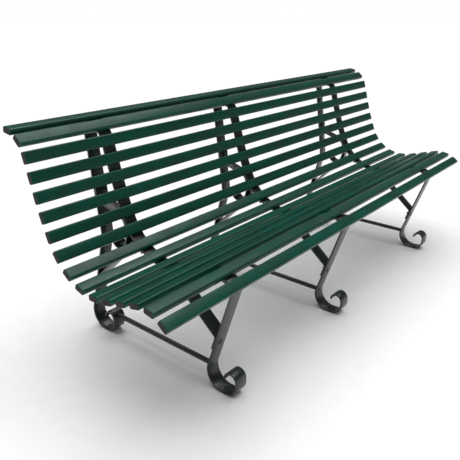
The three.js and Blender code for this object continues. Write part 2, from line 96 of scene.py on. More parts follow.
# ---- foot scroll, outer radii from the heel round to the tip ----
HEEL_RADIUS = 64
FOOT_FLAT = 11
TOE_RADIUS = 48
TOE_RISE = 12
CURL_RADIUS = 28
TIP_RADIUS = 24
TIP_TURN = 95
FIXING_HOLE_DIAMETER = 10
FIXING_HOLE_SETBACK = 3
DRILL_DEPTH = 48

# ---- braces, scroll brace and stretcher ----
FRONT_BRACE_FOOT_HEIGHT = 193
BRACE_TAB_TAIL = 21
FRONT_BRACE_TAB_REACH = 8.9
REAR_BRACE_FOOT_HEIGHT = 224
REAR_BRACE_TAB_REACH = 33.6
BRACE_FOOT_TAB = 42
BRACE_BOLT_DROP = 26
BRACE_BEND_RADIUS = 12
SCROLL_ARM_SLOPE = 16
SCROLL_SHOULDER_RADIUS = 30
SCROLL_SIDE_RADIUS = 90
SCROLL_SIDE_TURN = 55
SCROLL_BELLY_RADIUS = 42
SCROLL_CURL_RADIUS = 30
SCROLL_CURL_TURN = 150
SCROLL_TAB = 46
SCROLL_BOLT_DROP = 18
STRETCHER_DIAMETER = 18
STRETCHER_TENON_DIAMETER = 10
STRETCHER_HEIGHT = 72
RIVET_HEAD_DIAMETER = 16
RIVET_HEAD_HEIGHT = 2.5
SHOULDER_EASE = 0.8

# ---- bolts and coach screws ----
BOLT_DIAMETER = 8
CUP_HEAD_DIAMETER = 18
CUP_HEAD_HEIGHT = 3
CUP_HEAD_RIM = 0.4
HEXAGON_CORNERS = 15
HEXAGON_CHAMFER = 1.1
HEXAGON_CHAMFER_DROP = 0.7
HEXAGON_EDGE = 0.25
SCREW_HEAD_HEIGHT = 4.3
WASHER_DIAMETER = 17
WASHER_THICKNESS = 1.2
WASHER_EDGE = 0.3
NUT_HEIGHT = 5.3
THREAD_END = 3
THREAD_PITCH = 1.25
THREAD_DEPTH = 0.6
THREAD_LEAD = 0.4
SCREW_BITE = 13

SIDES = ("left", "middle", "right")
HALF_IRON = IRON_THICKNESS / 2
LAP = IRON_THICKNESS + JOINT_GAP
GRIP = IRON_THICKNESS + LAP
BAR_FACE_DEPTH = SLAT_THICKNESS + JOINT_GAP
BAR_MIDDLE_DEPTH = BAR_FACE_DEPTH + HALF_IRON
TAB_MIDDLE_DEPTH = BAR_MIDDLE_DEPTH + LAP
LAST_SLAT = SLAT_PITCH * (SLAT_COUNT - 1)

# The toe of the front foot is the foremost point of a front leg.
SIDE_PLANE_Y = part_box("left_front_leg")[0].y - (FRONT_FOOT_SETBACK - TOE_RADIUS) * MM


def middle_x(node):
    """The place along the bench of a CAD node's middle."""
    low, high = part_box(node)
    return (low.x + high.x) / 2


SUPPORT_X = {side: middle_x(f"{side}_seat_back_bar") for side in SIDES}


# ---- side-plane geometry ----
def along(heading):
    return Vector((math.cos(math.radians(heading)), math.sin(math.radians(heading))))


def in_frame(point):
    """A side-plane point, in metres, in the plane x = 0."""
    return Vector((0, point[0] * MM + SIDE_PLANE_Y, point[1] * MM))


def heading_between(start, end):
    return math.degrees(math.atan2(end[1] - start[1], end[0] - start[0]))


def crossing(a, heading_a, b, heading_b):
    """Where the line through a crosses the line through b."""
    u, v, gap = along(heading_a), along(heading_b), b - a
    return a + u * ((gap.x * v.y - gap.y * v.x) / (u.x * v.y - u.y * v.x))


def sitting_pieces():
    """Length and curvature of each stretch; positive curves rise towards the back."""
    front_roll = FRONT_ROLL_RADIUS * math.radians(FRONT_SLAT_TILT + SEAT_FALL)
    bend = BEND_RADIUS * math.radians(SEAT_FALL + BEND_END_SLOPE)
    easing = EASING_RADIUS * math.radians(BACK_SLOPE - BEND_END_SLOPE)
    to_top_roll = LAST_SLAT - TOP_ROLL_SPAN
    return [
        (front_roll, -1 / FRONT_ROLL_RADIUS),
        (SEAT_STRAIGHT, 0),
        (bend, 1 / BEND_RADIUS),
        (easing, 1 / EASING_RADIUS),
        (to_top_roll - front_roll - SEAT_STRAIGHT - bend - easing, 0),
        (math.inf, -1 / TOP_ROLL_RADIUS),
    ]


SITTING_PIECES = sitting_pieces()


def after(point, heading, length, curvature):
    """Point and heading after a stretch."""
    if curvature == 0:
        return point + along(heading) * length, heading
    turned = math.degrees(length * curvature)
    centre = point + along(heading + 90) / curvature
    return centre + along(heading + turned - 90) / curvature, heading + turned


def sitting_line(distance):
    """Point, heading and curvature of the slat faces, at a distance from the front slat."""
    point, heading, left = Vector((0, FRONT_SLAT_FACE_HEIGHT)), FRONT_SLAT_TILT, distance
    for length, curvature in SITTING_PIECES:
        if left <= length:
            return (*after(point, heading, left, curvature), curvature)
        point, heading = after(point, heading, length, curvature)
        left -= length


def line_heading(distance):
    return sitting_line(distance)[1]


def below(distance, depth):
    """A point a given depth behind the slat faces."""
    point, heading, _ = sitting_line(distance)
    return point + along(heading - 90) * depth


class Route:
    """An iron's middle line, grown like a walk: straight runs and bends, left is positive."""

    def __init__(self, start, heading):
        self.start = self.point = Vector(start)
        self.heading = heading
        self.steps = []

    def forward(self, length):
        self.steps.append(("run", along(self.heading) * length))
        self.point = self.point + along(self.heading) * length
        return self

    def turn(self, radius, angle):
        side = math.copysign(90, angle)
        centre = self.point + along(self.heading + side) * radius
        self.steps.append(("bend", centre, radius, angle))
        self.heading += angle
        self.point = centre + along(self.heading - side) * radius
        return self

    def bend_at(self, corner, radius, heading):
        """Straight on to a corner, and round it onto a new heading."""
        angle = (heading - self.heading + 180) % 360 - 180
        cut = radius * math.tan(math.radians(abs(angle) / 2))
        return self.forward((corner - self.point).length - cut).turn(radius, angle)

    def lie_along(self, start, end, depth):
        """Follows the sitting line at a depth, from one distance to another, either way."""
        way = 1 if end > start else -1
        low, high = min(start, end), max(start, end)
        begin, stretches = 0, []
        for number, (length, curvature) in enumerate(SITTING_PIECES):
            first = max(low, begin if number else low)
            last = min(high, begin + length)
            if last > first:
                stretches.append((last - first, curvature))
            begin += length
        for length, curvature in stretches[::way]:
            if curvature == 0:
                self.forward(length)
            else:
                radius = abs(1 / curvature) + math.copysign(depth, curvature)
                self.turn(radius, way * math.degrees(length * curvature))
        return self


# ---- the irons' middle lines ----
FRONT_SOLE_BACK = FRONT_FOOT_SETBACK + FOOT_FLAT
REAR_SOLE_BACK = FRONT_SOLE_BACK + FOOT_SPACING
HEEL_MIDDLE_RADIUS = HEEL_RADIUS - HALF_IRON


def leg_line(corner, sole_back):
    """The straight that runs from a corner down to touch the heel's curve."""
    centre = Vector((sole_back, HEEL_RADIUS))
    swing = math.degrees(math.asin(HEEL_MIDDLE_RADIUS / (centre - corner).length))
    heading = heading_between(corner, centre) + swing
    return centre + along(heading + 90) * HEEL_MIDDLE_RADIUS, heading


def down_to_foot(route, foot):
    """The rest of the straight leg, then heel, sole, toe, curl and tip."""
    route.forward((foot - route.point).length)
    route.turn(HEEL_MIDDLE_RADIUS, -180 - route.heading)
    route.forward(FOOT_FLAT)
    route.turn(TOE_RADIUS - HALF_IRON, -90)
    route.forward(TOE_RISE)
    route.turn(CURL_RADIUS - HALF_IRON, -90)
    return route.turn(TIP_RADIUS - HALF_IRON, -TIP_TURN)


JOINT_SLAT = {"front_roll": 1, "front_brace": 5, "rear_brace": 7, "scroll": 8.5, "crest": 14}
JOINT_AT = {name: number * SLAT_PITCH for name, number in JOINT_SLAT.items()}

LEG_TOP_HEADING = line_heading(LEG_TAB_END) - 180
LEG_CORNER = below(LEG_TAB_END, TAB_MIDDLE_DEPTH) + along(LEG_TOP_HEADING) * LEG_TOP_REACH
LEG_FOOT, LEG_HEADING = leg_line(LEG_CORNER, FRONT_SOLE_BACK)

KNEE = Vector((REAR_SOLE_BACK + KNEE_SETBACK, KNEE_HEIGHT))
REAR_FOOT, REAR_HEADING = leg_line(KNEE, REAR_SOLE_BACK)
STAY_TAB_END = LAST_SLAT + STAY_TAB_OVERHANG
STAY_TAB_HEADING = line_heading(STAY_TAB_END)
STAY_CORNER = below(STAY_TAB_END, TAB_MIDDLE_DEPTH) + along(STAY_TAB_HEADING) * STAY_TOP_REACH
STAY_HEADING = heading_between(STAY_CORNER, KNEE)


def bar_route():
    route = Route(below(-BAR_FRONT_OVERHANG, BAR_MIDDLE_DEPTH), line_heading(-BAR_FRONT_OVERHANG))
    return route.lie_along(-BAR_FRONT_OVERHANG, LAST_SLAT + BAR_TOP_OVERHANG, BAR_MIDDLE_DEPTH)


def front_leg_route():
    tab_start = JOINT_AT["front_roll"] + TAB_REACH
    route = Route(below(tab_start, TAB_MIDDLE_DEPTH), line_heading(tab_start) - 180)
    route.lie_along(tab_start, LEG_TAB_END, TAB_MIDDLE_DEPTH)
    route.bend_at(LEG_CORNER, LEG_TOP_BEND_RADIUS, LEG_HEADING)
    return down_to_foot(route, LEG_FOOT)


def rear_leg_route():
    tab_start = JOINT_AT["crest"] - TAB_REACH
    route = Route(below(tab_start, TAB_MIDDLE_DEPTH), line_heading(tab_start))
    route.lie_along(tab_start, STAY_TAB_END, TAB_MIDDLE_DEPTH)
    route.bend_at(STAY_CORNER, STAY_TOP_BEND_RADIUS, STAY_HEADING)
    route.bend_at(KNEE, KNEE_RADIUS, REAR_HEADING)
    return down_to_foot(route, REAR_FOOT)


def brace_route(distance, tab_heading, reach, leg_face, leg_heading):
    """A tab under the bar, a straight run, and a tab down the leg."""
    screw = below(distance, TAB_MIDDLE_DEPTH)
    top_corner = screw + along(tab_heading) * reach
    route = Route(screw - along(tab_heading) * BRACE_TAB_TAIL, tab_heading)
    route.bend_at(top_corner, BRACE_BEND_RADIUS, heading_between(top_corner, leg_face))
    route.bend_at(leg_face, BRACE_BEND_RADIUS, leg_heading)
    return route.forward(BRACE_FOOT_TAB)


def face_at(foot, heading, height, side):
    """The point at a height on the line a lap away from a leg's middle line."""
    return crossing(foot, heading, Vector((0, height)), 0) + along(heading + side) * LAP


def front_brace_route():
    distance = JOINT_AT["front_brace"]
    face = face_at(LEG_FOOT, LEG_HEADING, FRONT_BRACE_FOOT_HEIGHT, 90)
    tab_heading = line_heading(distance) - 180
    return brace_route(distance, tab_heading, FRONT_BRACE_TAB_REACH, face, LEG_HEADING)


def rear_brace_route():
    distance = JOINT_AT["rear_brace"]
    face = face_at(REAR_FOOT, REAR_HEADING, REAR_BRACE_FOOT_HEIGHT, -90)
    tab_heading = line_heading(distance)
    return brace_route(distance, tab_heading, REAR_BRACE_TAB_REACH, face, REAR_HEADING)


def scroll_route():
    """Drawn from the curl's tip, round its belly, up past the bar and along the arm."""
    touch = below(JOINT_AT["scroll"], TAB_MIDDLE_DEPTH)
    touch_heading = line_heading(JOINT_AT["scroll"]) - 180
    tip = Route(touch, touch_heading)
    tip.turn(SCROLL_SIDE_RADIUS, SCROLL_SIDE_TURN)
    tip.turn(SCROLL_BELLY_RADIUS, -touch_heading - SCROLL_SIDE_TURN)
    tip.turn(SCROLL_CURL_RADIUS, SCROLL_CURL_TURN)
    route = Route(tip.point, tip.heading - 180)
    route.turn(SCROLL_CURL_RADIUS, -SCROLL_CURL_TURN)
    route.turn(SCROLL_BELLY_RADIUS, touch_heading + SCROLL_SIDE_TURN)
    route.turn(SCROLL_SIDE_RADIUS, -SCROLL_SIDE_TURN)
    shoulder_turn = (SCROLL_ARM_SLOPE - route.heading + 180) % 360 - 180
    route.turn(SCROLL_SHOULDER_RADIUS, shoulder_turn)
    stay_face = STAY_CORNER + along(STAY_HEADING - 90) * LAP
    corner = crossing(route.point, SCROLL_ARM_SLOPE, stay_face, STAY_HEADING)
    up_the_stay = STAY_HEADING + 180
    route.bend_at(corner, BRACE_BEND_RADIUS, up_the_stay)
    end = corner + along(up_the_stay) * SCROLL_TAB
    return route.forward((end - route.point).length)


# ---- joints: the point where a fastener's head side starts, and the heading out ----
def bar_joint(name):
    distance = JOINT_AT[name]
    return below(distance, BAR_FACE_DEPTH), line_heading(distance) + 90


def leg_joint(foot, heading, height, side):
    middle = crossing(foot, heading, Vector((0, height)), 0)
    return middle + along(heading + side) * HALF_IRON, heading + side


def brace_foot_joint(foot, heading, corner_height, side):
    drop = BRACE_BOLT_DROP * -math.sin(math.radians(heading))
    return leg_joint(foot, heading, corner_height - drop, side)


def scroll_stay_joint():
    end = scroll_route().point
    height = end.y + SCROLL_BOLT_DROP * math.sin(math.radians(STAY_HEADING))
    point, heading = leg_joint(KNEE, STAY_HEADING, height, -90)
    return point + along(heading) * LAP, heading


# ---- materials ----
def colour(code):
    """An sRGB hex value as linear light."""
    channels = [int(code[i : i + 2], 16) / 255 for i in (1, 3, 5)]
    return [c / 12.92 if c <= 0.04045 else ((c + 0.055) / 1.055) ** 2.4 for c in channels] + [1]


def add(tree, kind, inputs=None, **settings):
    """Adds a node with its settings; an input given as a socket is linked, else it is set."""
    made = tree.nodes.new(kind)
    for name, value in settings.items():
        setattr(made, name, value)
    for name, value in (inputs or {}).items():
        if isinstance(value, bpy.types.NodeSocket):
            tree.links.new(value, made.inputs[name])
        else:
            made.inputs[name].default_value = value
    return made


def per_metre(millimetres):
    """A texture scale whose features are this size."""
    return 1 / (millimetres * MM)


def new_material(name):
    material = bpy.data.materials.new(name)
    material.use_nodes = True
    tree = material.node_tree
    tree.nodes.clear()
    shader = add(tree, "ShaderNodeBsdfPrincipled")
    output = add(tree, "ShaderNodeOutputMaterial")
    tree.links.new(shader.outputs["BSDF"], output.inputs["Surface"])
    return material, tree, shader


def speckle(tree, place, size, low, high, detail=3):
    """A soft noise with features of a size in millimetres, spread between two levels."""
    noise = add(tree, "ShaderNodeTexNoise",
                {"Vector": place, "Scale": per_metre(size), "Detail": detail})
    spread = add(tree, "ShaderNodeMapRange",
                 {"Value": noise.outputs["Fac"], "From Min": low, "From Max": high})
    return spread.outputs["Result"]


def edge_mask(tree, reach, sharpness):
    """Rises towards 1 on arrises and corners, within a reach in millimetres."""
    rounded = add(tree, "ShaderNodeBevel", {"Radius": reach * MM}, samples=6)
    true = add(tree, "ShaderNodeNewGeometry")
    level = add(tree, "ShaderNodeVectorMath",
                {0: rounded.outputs["Normal"], 1: true.outputs["Normal"]},
                operation="DOT_PRODUCT")
    mask = add(tree, "ShaderNodeMapRange",
               {"Value": level.outputs["Value"], "From Min": 0.995, "From Max": sharpness})
    return mask.outputs["Result"]


def blended(tree, share, first, second):
    """A colour between two, by share."""
    mix = add(tree, "ShaderNodeMix", {0: share, 6: first, 7: second}, data_type="RGBA")
    return mix.outputs[2]


def product(tree, first, second):
    return add(tree, "ShaderNodeMath", {0: first, 1: second}, operation="MULTIPLY").outputs[0]


def spread_roughness(tree, shader, pattern, smooth, dull):
    level = add(tree, "ShaderNodeMapRange", {"Value": pattern, "To Min": smooth, "To Max": dull})
    tree.links.new(level.outputs["Result"], shader.inputs["Roughness"])


def raised(tree, height, depth, strength, below_it=None):
    """Bump of a depth in millimetres, over any bump below it."""
    inputs = {"Height": height, "Distance": depth * MM, "Strength": strength}
    if below_it is not None:
        inputs["Normal"] = below_it
    return add(tree, "ShaderNodeBump", inputs).outputs["Normal"]


def green_gloss_on_wood():
    """Bottle-green gloss lacquer brushed on planed softwood: deep colour, a bright skin,
    soft streaks where the grain telegraphs through, and arrises rubbed thin and dull."""
    material, tree, shader = new_material("green_gloss_lacquer_on_softwood")
    place = add(tree, "ShaderNodeTexCoord").outputs["Object"]
    stretched = add(tree, "ShaderNodeMapping", {"Vector": place, "Scale": (0.025, 1, 1)})
    along_grain = stretched.outputs["Vector"]
    board = speckle(tree, along_grain, 26, 0.35, 0.65)
    grain = speckle(tree, along_grain, 2.2, 0.3, 0.7, detail=6)
    blotch = speckle(tree, place, 90, 0.4, 0.62)
    tone = blended(tree, board, colour("#053f31"), colour("#084c3d"))
    tone = blended(tree, product(tree, grain, blotch), tone, colour("#043026"))
    rubbed = product(tree, edge_mask(tree, 1.6, 0.86), speckle(tree, place, 14, 0.46, 0.6))
    tone = blended(tree, product(tree, rubbed, rubbed), tone, colour("#33544a"))
    tree.links.new(tone, shader.inputs["Base Color"])
    spread_roughness(tree, shader, blotch, 0.26, 0.38)
    shader.inputs["IOR"].default_value = 1.45
    shader.inputs["Specular IOR Level"].default_value = 0.38
    shader.inputs["Coat Weight"].default_value = 0.05
    shader.inputs["Coat Roughness"].default_value = 0.15
    brushed = raised(tree, grain, 0.12, 0.55)
    orange_peel = speckle(tree, place, 3.5, 0.3, 0.7, detail=2)
    tree.links.new(raised(tree, orange_peel, 0.05, 0.4, brushed), shader.inputs["Normal"])
    return material


def stained_end_grain():
    """Sawn end grain that drank the stain: nearly black-brown, matt, with fine pores."""
    material, tree, shader = new_material("stained_sawn_end_grain")
    place = add(tree, "ShaderNodeTexCoord").outputs["Object"]
    tilted = add(tree, "ShaderNodeMapping", {"Vector": place, "Scale": (0.1, 1, 0.45)})
    ring = speckle(tree, tilted.outputs["Vector"], 3, 0.35, 0.65, detail=4)
    pores = add(tree, "ShaderNodeTexVoronoi", {"Vector": place, "Scale": per_metre(1.1)})
    tone = blended(tree, ring, colour("#140d0c"), colour("#33221d"))
    stain = speckle(tree, place, 22, 0.42, 0.6)
    tone = blended(tree, stain, tone, colour("#0b0f0d"))
    tree.links.new(tone, shader.inputs["Base Color"])
    spread_roughness(tree, shader, ring, 0.6, 0.82)
    rough = raised(tree, pores.outputs["Distance"], 0.2, 0.6)
    tree.links.new(raised(tree, ring, 0.25, 0.5, rough), shader.inputs["Normal"])
    return material


def green_black_enamel():
    """Brushed black-green enamel over hot-rolled flat iron: a satin skin, faint scale
    under it, and lighter rubbed edges."""
    material, tree, shader = new_material("black_green_enamel_on_rolled_iron")
    place = add(tree, "ShaderNodeTexCoord").outputs["Object"]
    cloud = speckle(tree, place, 70, 0.36, 0.64)
    scale = speckle(tree, place, 9, 0.3, 0.7, detail=5)
    tone = blended(tree, cloud, colour("#07120e"), colour("#0f1e18"))
    tone = blended(tree, product(tree, scale, cloud), tone, colour("#16241d"))
    rubbed = product(tree, edge_mask(tree, 1.1, 0.8), speckle(tree, place, 11, 0.44, 0.62))
    tone = blended(tree, rubbed, tone, colour("#3c463e"))
    tree.links.new(tone, shader.inputs["Base Color"])
    spread_roughness(tree, shader, scale, 0.3, 0.46)
    shader.inputs["IOR"].default_value = 1.5
    shader.inputs["Coat Weight"].default_value = 0.4
    shader.inputs["Coat Roughness"].default_value = 0.3
    rolled = raised(tree, scale, 0.18, 0.5)
    peel = speckle(tree, place, 2.4, 0.3, 0.7, detail=2)
    tree.links.new(raised(tree, peel, 0.04, 0.4, rolled), shader.inputs["Normal"])
    return material


def enamelled_bolt_steel():
    """Forged fasteners painted with the irons: the spanner's flats and corners rubbed to
    dull grey steel."""
    material, tree, shader = new_material("spanner_rubbed_enamel_on_forged_steel")
    place = add(tree, "ShaderNodeTexCoord").outputs["Object"]
    cloud = speckle(tree, place, 6, 0.38, 0.62)
    tone = blended(tree, cloud, colour("#0a1511"), colour("#17241e"))
    bare = product(tree, edge_mask(tree, 0.7, 0.78), speckle(tree, place, 4, 0.4, 0.56))
    tone = blended(tree, bare, tone, colour("#5d615c"))
    tree.links.new(tone, shader.inputs["Base Color"])
    spread_roughness(tree, shader, cloud, 0.34, 0.52)
    forged = raised(tree, cloud, 0.15, 0.5)
    tree.links.new(forged, shader.inputs["Normal"])
    return material


def matt_studio_floor():
    """Seamless pale studio vinyl: matt, with a barely visible mottle."""
    material, tree, shader = new_material("matt_white_studio_vinyl")
    place = add(tree, "ShaderNodeTexCoord").outputs["Object"]
    mottle = speckle(tree, place, 60, 0.3, 0.7)
    tone = blended(tree, mottle, colour("#f9f9f8"), colour("#fcfcfb"))
    tree.links.new(tone, shader.inputs["Base Color"])
    shader.inputs["Roughness"].default_value = 0.85
    return material


LACQUER = green_gloss_on_wood()
END_GRAIN = stained_end_grain()
ENAMEL = green_black_enamel()
BOLT_PAINT = enamelled_bolt_steel()


# ---- modelling by hand ----
SHARP_EDGE_ANGLE = 40
SMOOTH_ANGLE = 35
EASE_STEPS = 2
TURNED_STEPS = 28
MERGE_DISTANCE = 0.00001
SQUARE_ON = 0.9


def begin_edit():
    bpy.ops.object.mode_set(mode="EDIT")
    bpy.ops.mesh.select_mode(type="VERT")


def end_edit():
    bpy.ops.object.mode_set(mode="OBJECT")


def choose(kind, test):
    """In edit mode, selects only the verts, edges or faces that pass a test."""
    bpy.ops.mesh.select_all(action="DESELECT")
    bpy.ops.mesh.select_mode(type={"verts": "VERT", "edges": "EDGE", "faces": "FACE"}[kind])
    mesh = bmesh.from_edit_mesh(bpy.context.edit_object.data)
    mesh.normal_update()
    for element in getattr(mesh, kind):
        if test(element):
            element.select_set(True)
    mesh.select_flush_mode()
    bmesh.update_edit_mesh(bpy.context.edit_object.data)


def started(name, primitive, **sizes):
    """Adds a primitive with nothing else selected, and names it."""
    bpy.ops.object.select_all(action="DESELECT")
    primitive(**sizes)
    piece = bpy.context.object
    piece.name = piece.data.name = name
    return piece


def apply_modifiers(piece):
    bpy.context.view_layer.objects.active = piece
    for modifier in list(piece.modifiers):
        bpy.ops.object.modifier_apply(modifier=modifier.name)


def eased(piece, width, segments):
    """Rounds a piece's sharp edges and shades what is left smooth."""
    bevel = piece.modifiers.new("edges", "BEVEL")
    bevel.width, bevel.segments, bevel.limit_method = width * MM, segments, "ANGLE"
    bevel.angle_limit = math.radians(SHARP_EDGE_ANGLE)
    apply_modifiers(piece)
    smooth(piece)


def smooth(piece):
    bpy.ops.object.select_all(action="DESELECT")
    piece.select_set(True)
    bpy.context.view_layer.objects.active = piece
    bpy.ops.object.shade_smooth_by_angle(angle=math.radians(SMOOTH_ANGLE))


def join(pieces, name):
    bpy.ops.object.select_all(action="DESELECT")
    for piece in pieces:
        piece.select_set(True)
    bpy.context.view_layer.objects.active = pieces[0]
    bpy.ops.object.join()
    pieces[0].name = pieces[0].data.name = name
    return pieces[0]


def copied(original, name, place, slot, *nodes):
    """A copy with its own mesh, at its place, riding on the bench."""
    piece = original.copy()
    piece.data = original.data.copy()
    piece.name = piece.data.name = name
    bpy.context.collection.objects.link(piece)
    piece.data.transform(place)
    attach(piece, "root")
    if nodes:
        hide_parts(*nodes)
    return piece


def used_up(original):
    bpy.data.objects.remove(original)


# ---- slats ----
def model_slat():
    """A planed bar with rounded arrises and eased sawn ends, lying along X."""
    low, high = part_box("front_slat")
    length = high.x - low.x
    slat = started("slat_pattern", bpy.ops.mesh.primitive_cube_add, size=1)
    slat.scale = (length - 2 * SLAT_END_EASE * MM, SLAT_WIDTH * MM, SLAT_THICKNESS * MM)
    bpy.ops.object.transform_apply(scale=True)
    begin_edit()
    choose("edges", lambda edge: abs((edge.verts[0].co - edge.verts[1].co).x) > length / 2)
    bpy.ops.mesh.bevel(offset=SLAT_ARRIS * MM, segments=ARRIS_STEPS, affect="EDGES")
    choose("faces", lambda face: abs(face.normal.x) > SQUARE_ON)
    bpy.ops.mesh.inset(thickness=SLAT_END_EASE * MM, depth=SLAT_END_EASE * MM)
    end_edit()
    slat.data.materials.append(LACQUER)
    slat.data.materials.append(END_GRAIN)
    for face in slat.data.polygons:
        face.material_index = int(abs(face.normal.x) > SQUARE_ON)
    smooth(slat)
    return slat


def slat_name(number):
    if number == 0:
        return "front_slat"
    if number <= 5:
        return f"seat_slat_{number}"
    if number <= 7:
        return f"bend_slat_{number - 5}"
    if number < SLAT_COUNT - 1:
        return f"back_slat_{number - 7}"
    return "crest_slat"


def slat_place(number):
    """A slat bears flat on the bar, or on its two edges in the hollow of the bend."""
    point, heading, curvature = sitting_line(SLAT_PITCH * number)
    lift = 0
    if curvature > 0:
        radius = 1 / curvature + BAR_FACE_DEPTH
        lift = radius - math.sqrt(radius**2 - (SLAT_WIDTH / 2) ** 2)
    centre = point + along(heading + 90) * (lift - SLAT_THICKNESS / 2)
    turned = Matrix.Rotation(math.radians(heading), 4, "X")
    return Matrix.Translation(in_frame(centre)) @ turned


def lay_slats():
    slat = model_slat()
    for number in range(SLAT_COUNT):
        node = slat_name(number)
        copied(slat, f"lacquered_{node}", slat_place(number), "lacquered_slats", node)
    used_up(slat)


# ---- irons ----
SPIN_STEP = 5
SPIN_SAG_STEP = 9


def model_iron(name, route):
    """A flat iron bent along its middle line: an edge is drawn out straight and spun
    round each bend, then the strip gets its thickness; fit_irons rolls its edges after drilling."""
    iron = started(name, bpy.ops.mesh.primitive_plane_add, size=IRON_WIDTH * MM)
    begin_edit()
    choose("verts", lambda vert: vert.co.y < 0)
    bpy.ops.mesh.delete(type="VERT")
    bpy.ops.mesh.select_all(action="SELECT")
    half = Vector((0, IRON_WIDTH * MM / 2, 0))
    bpy.ops.transform.translate(value=in_frame(route.start) - half)
    for step in route.steps:
        if step[0] == "run":
            way = Vector((0, step[1].x * MM, step[1].y * MM))
            bpy.ops.mesh.extrude_region_move(TRANSFORM_OT_translate={"value": way})
        else:
            _, centre, radius, angle = step
            length = radius * math.radians(abs(angle))
            count = math.ceil(max(abs(angle) / SPIN_STEP, length / SPIN_SAG_STEP / 2))
            bpy.ops.mesh.spin(steps=count, angle=-math.radians(angle), center=in_frame(centre),
                              axis=(1, 0, 0), use_auto_merge=False)
    bpy.ops.mesh.select_all(action="SELECT")
    bpy.ops.mesh.remove_doubles(threshold=MERGE_DISTANCE)
    bpy.ops.mesh.normals_make_consistent(inside=False)
    end_edit()
    thickness = iron.modifiers.new("thickness", "SOLIDIFY")
    thickness.thickness, thickness.offset = IRON_THICKNESS * MM, 0
    apply_modifiers(iron)
    iron.data.materials.append(ENAMEL)
    return iron


def drill_sole(iron, sole_back):
    """The hole in a foot's sole for a ground fixing."""
    centre = in_frame((sole_back + FIXING_HOLE_SETBACK, 0))
    drill = started("drill", bpy.ops.mesh.primitive_cylinder_add, vertices=32,
                    radius=FIXING_HOLE_DIAMETER / 2 * MM, depth=DRILL_DEPTH * MM,
                    location=centre)
    cut = iron.modifiers.new("sole_hole", "BOOLEAN")
    cut.operation, cut.object, cut.solver = "DIFFERENCE", drill, "EXACT"
    apply_modifiers(iron)
    used_up(drill)


def at_support(x):
    return Matrix.Translation((x, 0, 0))


def fit_irons():
    routes = {
        "seat_back_bar": bar_route(),
        "front_leg": front_leg_route(),
        "rear_leg": rear_leg_route(),
        "front_brace": front_brace_route(),
        "rear_brace": rear_brace_route(),
        "scroll_brace": scroll_route(),
    }
    sole_back = {"front_leg": FRONT_SOLE_BACK, "rear_leg": REAR_SOLE_BACK}
    for name, route in routes.items():
        iron = model_iron(name, route)
        if name in sole_back:
            drill_sole(iron, sole_back[name])
        eased(iron, IRON_EDGE, EASE_STEPS)
        for side in SIDES:
            node = f"{side}_{name}"
            copied(iron, f"enamelled_{node}", at_support(SUPPORT_X[side]), "painted_irons", node)
        used_up(iron)


# ---- turned pieces ----
def model_turned(name, profile):
    """Spins a profile of (place along Z, radius), in millimetres, into a solid about Z."""
    piece = started(name, bpy.ops.mesh.primitive_plane_add, size=MM)
    begin_edit()
    bpy.ops.mesh.merge(type="CENTER")
    here = Vector((0, 0, 0))
    for number, (place, radius) in enumerate(profile):
        there = Vector((radius * MM, 0, place * MM))
        if number == 0:
            bpy.ops.transform.translate(value=there)
        else:
            bpy.ops.mesh.extrude_region_move(TRANSFORM_OT_translate={"value": there - here})
        here = there
    bpy.ops.mesh.select_all(action="SELECT")
    bpy.ops.mesh.spin(steps=TURNED_STEPS, angle=math.tau, center=(0, 0, 0), axis=(0, 0, 1))
    bpy.ops.mesh.select_all(action="SELECT")
    bpy.ops.mesh.remove_doubles(threshold=MERGE_DISTANCE)
    bpy.ops.mesh.normals_make_consistent(inside=False)
    end_edit()
    return piece


def chord_reach(radius, offset):
    return math.sqrt(radius**2 - offset**2)


def dome(start, radius, height, steps=5):
    """Points of a low dome, from its rim to its crown; a negative height points back."""
    return [
        (start + height * math.sin(turn), max(0, radius * math.cos(turn)))
        for turn in (math.pi / 2 * i / steps for i in range(steps + 1))
    ]


def fit_stretchers():
    """A round rod between the feet, shouldered down and riveted through both irons."""
    heel = FRONT_SOLE_BACK + chord_reach(HEEL_RADIUS, STRETCHER_HEIGHT - HEEL_RADIUS)
    curl_middle = FRONT_FOOT_SETBACK - TOE_RADIUS + CURL_RADIUS + FOOT_SPACING
    curl = curl_middle - chord_reach(CURL_RADIUS, STRETCHER_HEIGHT - TOE_RADIUS - TOE_RISE)
    rod, tenon, head = (
        diameter / 2
        for diameter in (STRETCHER_DIAMETER, STRETCHER_TENON_DIAMETER, RIVET_HEAD_DIAMETER)
    )
    near = dome(heel - LAP, head, -RIVET_HEAD_HEIGHT)[::-1]
    far = dome(curl + LAP, head, RIVET_HEAD_HEIGHT)
    shaft = [
        (heel - LAP, tenon), (heel, tenon), (heel, rod - SHOULDER_EASE),
        (heel + SHOULDER_EASE, rod),
        (curl - SHOULDER_EASE, rod), (curl, rod - SHOULDER_EASE), (curl, tenon),
        (curl + LAP, tenon),
    ]
    stretcher = model_turned("stretcher", near + shaft + far)
    stretcher.data.materials.append(ENAMEL)
    smooth(stretcher)
    lying = Matrix.Rotation(-math.pi / 2, 4, "X")
    for side in SIDES:
        node = f"{side}_stretcher"
        place = at_support(SUPPORT_X[side]) @ Matrix.Translation(in_frame((0, STRETCHER_HEIGHT)))
        copied(stretcher, f"enamelled_{node}", place @ lying, "painted_irons", node)
    used_up(stretcher)


